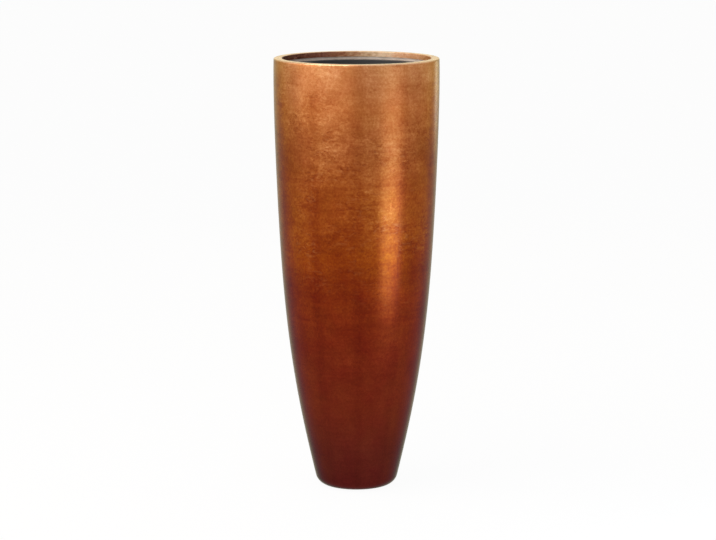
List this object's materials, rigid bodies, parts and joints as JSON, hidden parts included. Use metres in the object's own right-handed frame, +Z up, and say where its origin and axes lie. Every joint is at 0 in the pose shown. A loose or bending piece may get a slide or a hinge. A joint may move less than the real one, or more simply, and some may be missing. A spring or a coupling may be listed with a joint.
{
  "type": "tall planter",
  "caption": "Tall round tapered floor planter in lacquered metal leaf, with a flat folded rim and a black liner that lifts out.",
  "frame": {"origin": "centre of the ground under the foot pads", "axes": "+Z up along the planter's axis, +Y away from the picture's camera, +X to the picture's right"},
  "size_m": [0.3426, 0.3426, 0.9],
  "materials": {
    "lacquered_leaf": "metal leaf on glass-fibre laminate under tinted polished lacquer, golden copper at the rim to mahogany red at the foot",
    "bare_laminate": "pale grey topcoat on glass-fibre laminate, satin",
    "black_liner": "moulded black polypropylene, fine matt grain",
    "black_rubber": "moulded rubber, matt"
  },
  "bodies": {
    "planter": {"outer_shell": "lacquered_leaf", "rim_ring": "lacquered_leaf", "support_ring": "bare_laminate", "foot_pad_1": "black_rubber", "foot_pad_2": "black_rubber", "foot_pad_3": "black_rubber", "foot_pad_4": "black_rubber"},
    "liner": {"liner": "black_liner"},
    "liner_bung": {"liner_bung": "black_rubber"},
    "drain_plug": {"drain_plug": "black_rubber"}
  },
  "joints": [
    {"name": "liner_lift", "type": "slide", "parent": "planter", "child": "liner", "axis": [0, 0, 1], "range_m": [0, 0.31]},
    {"name": "bung_pull", "type": "slide", "parent": "liner", "child": "liner_bung", "axis": [0, 0, 1], "range_m": [0, 0.03]},
    {"name": "plug_pull", "type": "slide", "parent": "planter", "child": "drain_plug", "axis": [0, 0, -1], "range_m": [0, 0.012]}
  ]
}
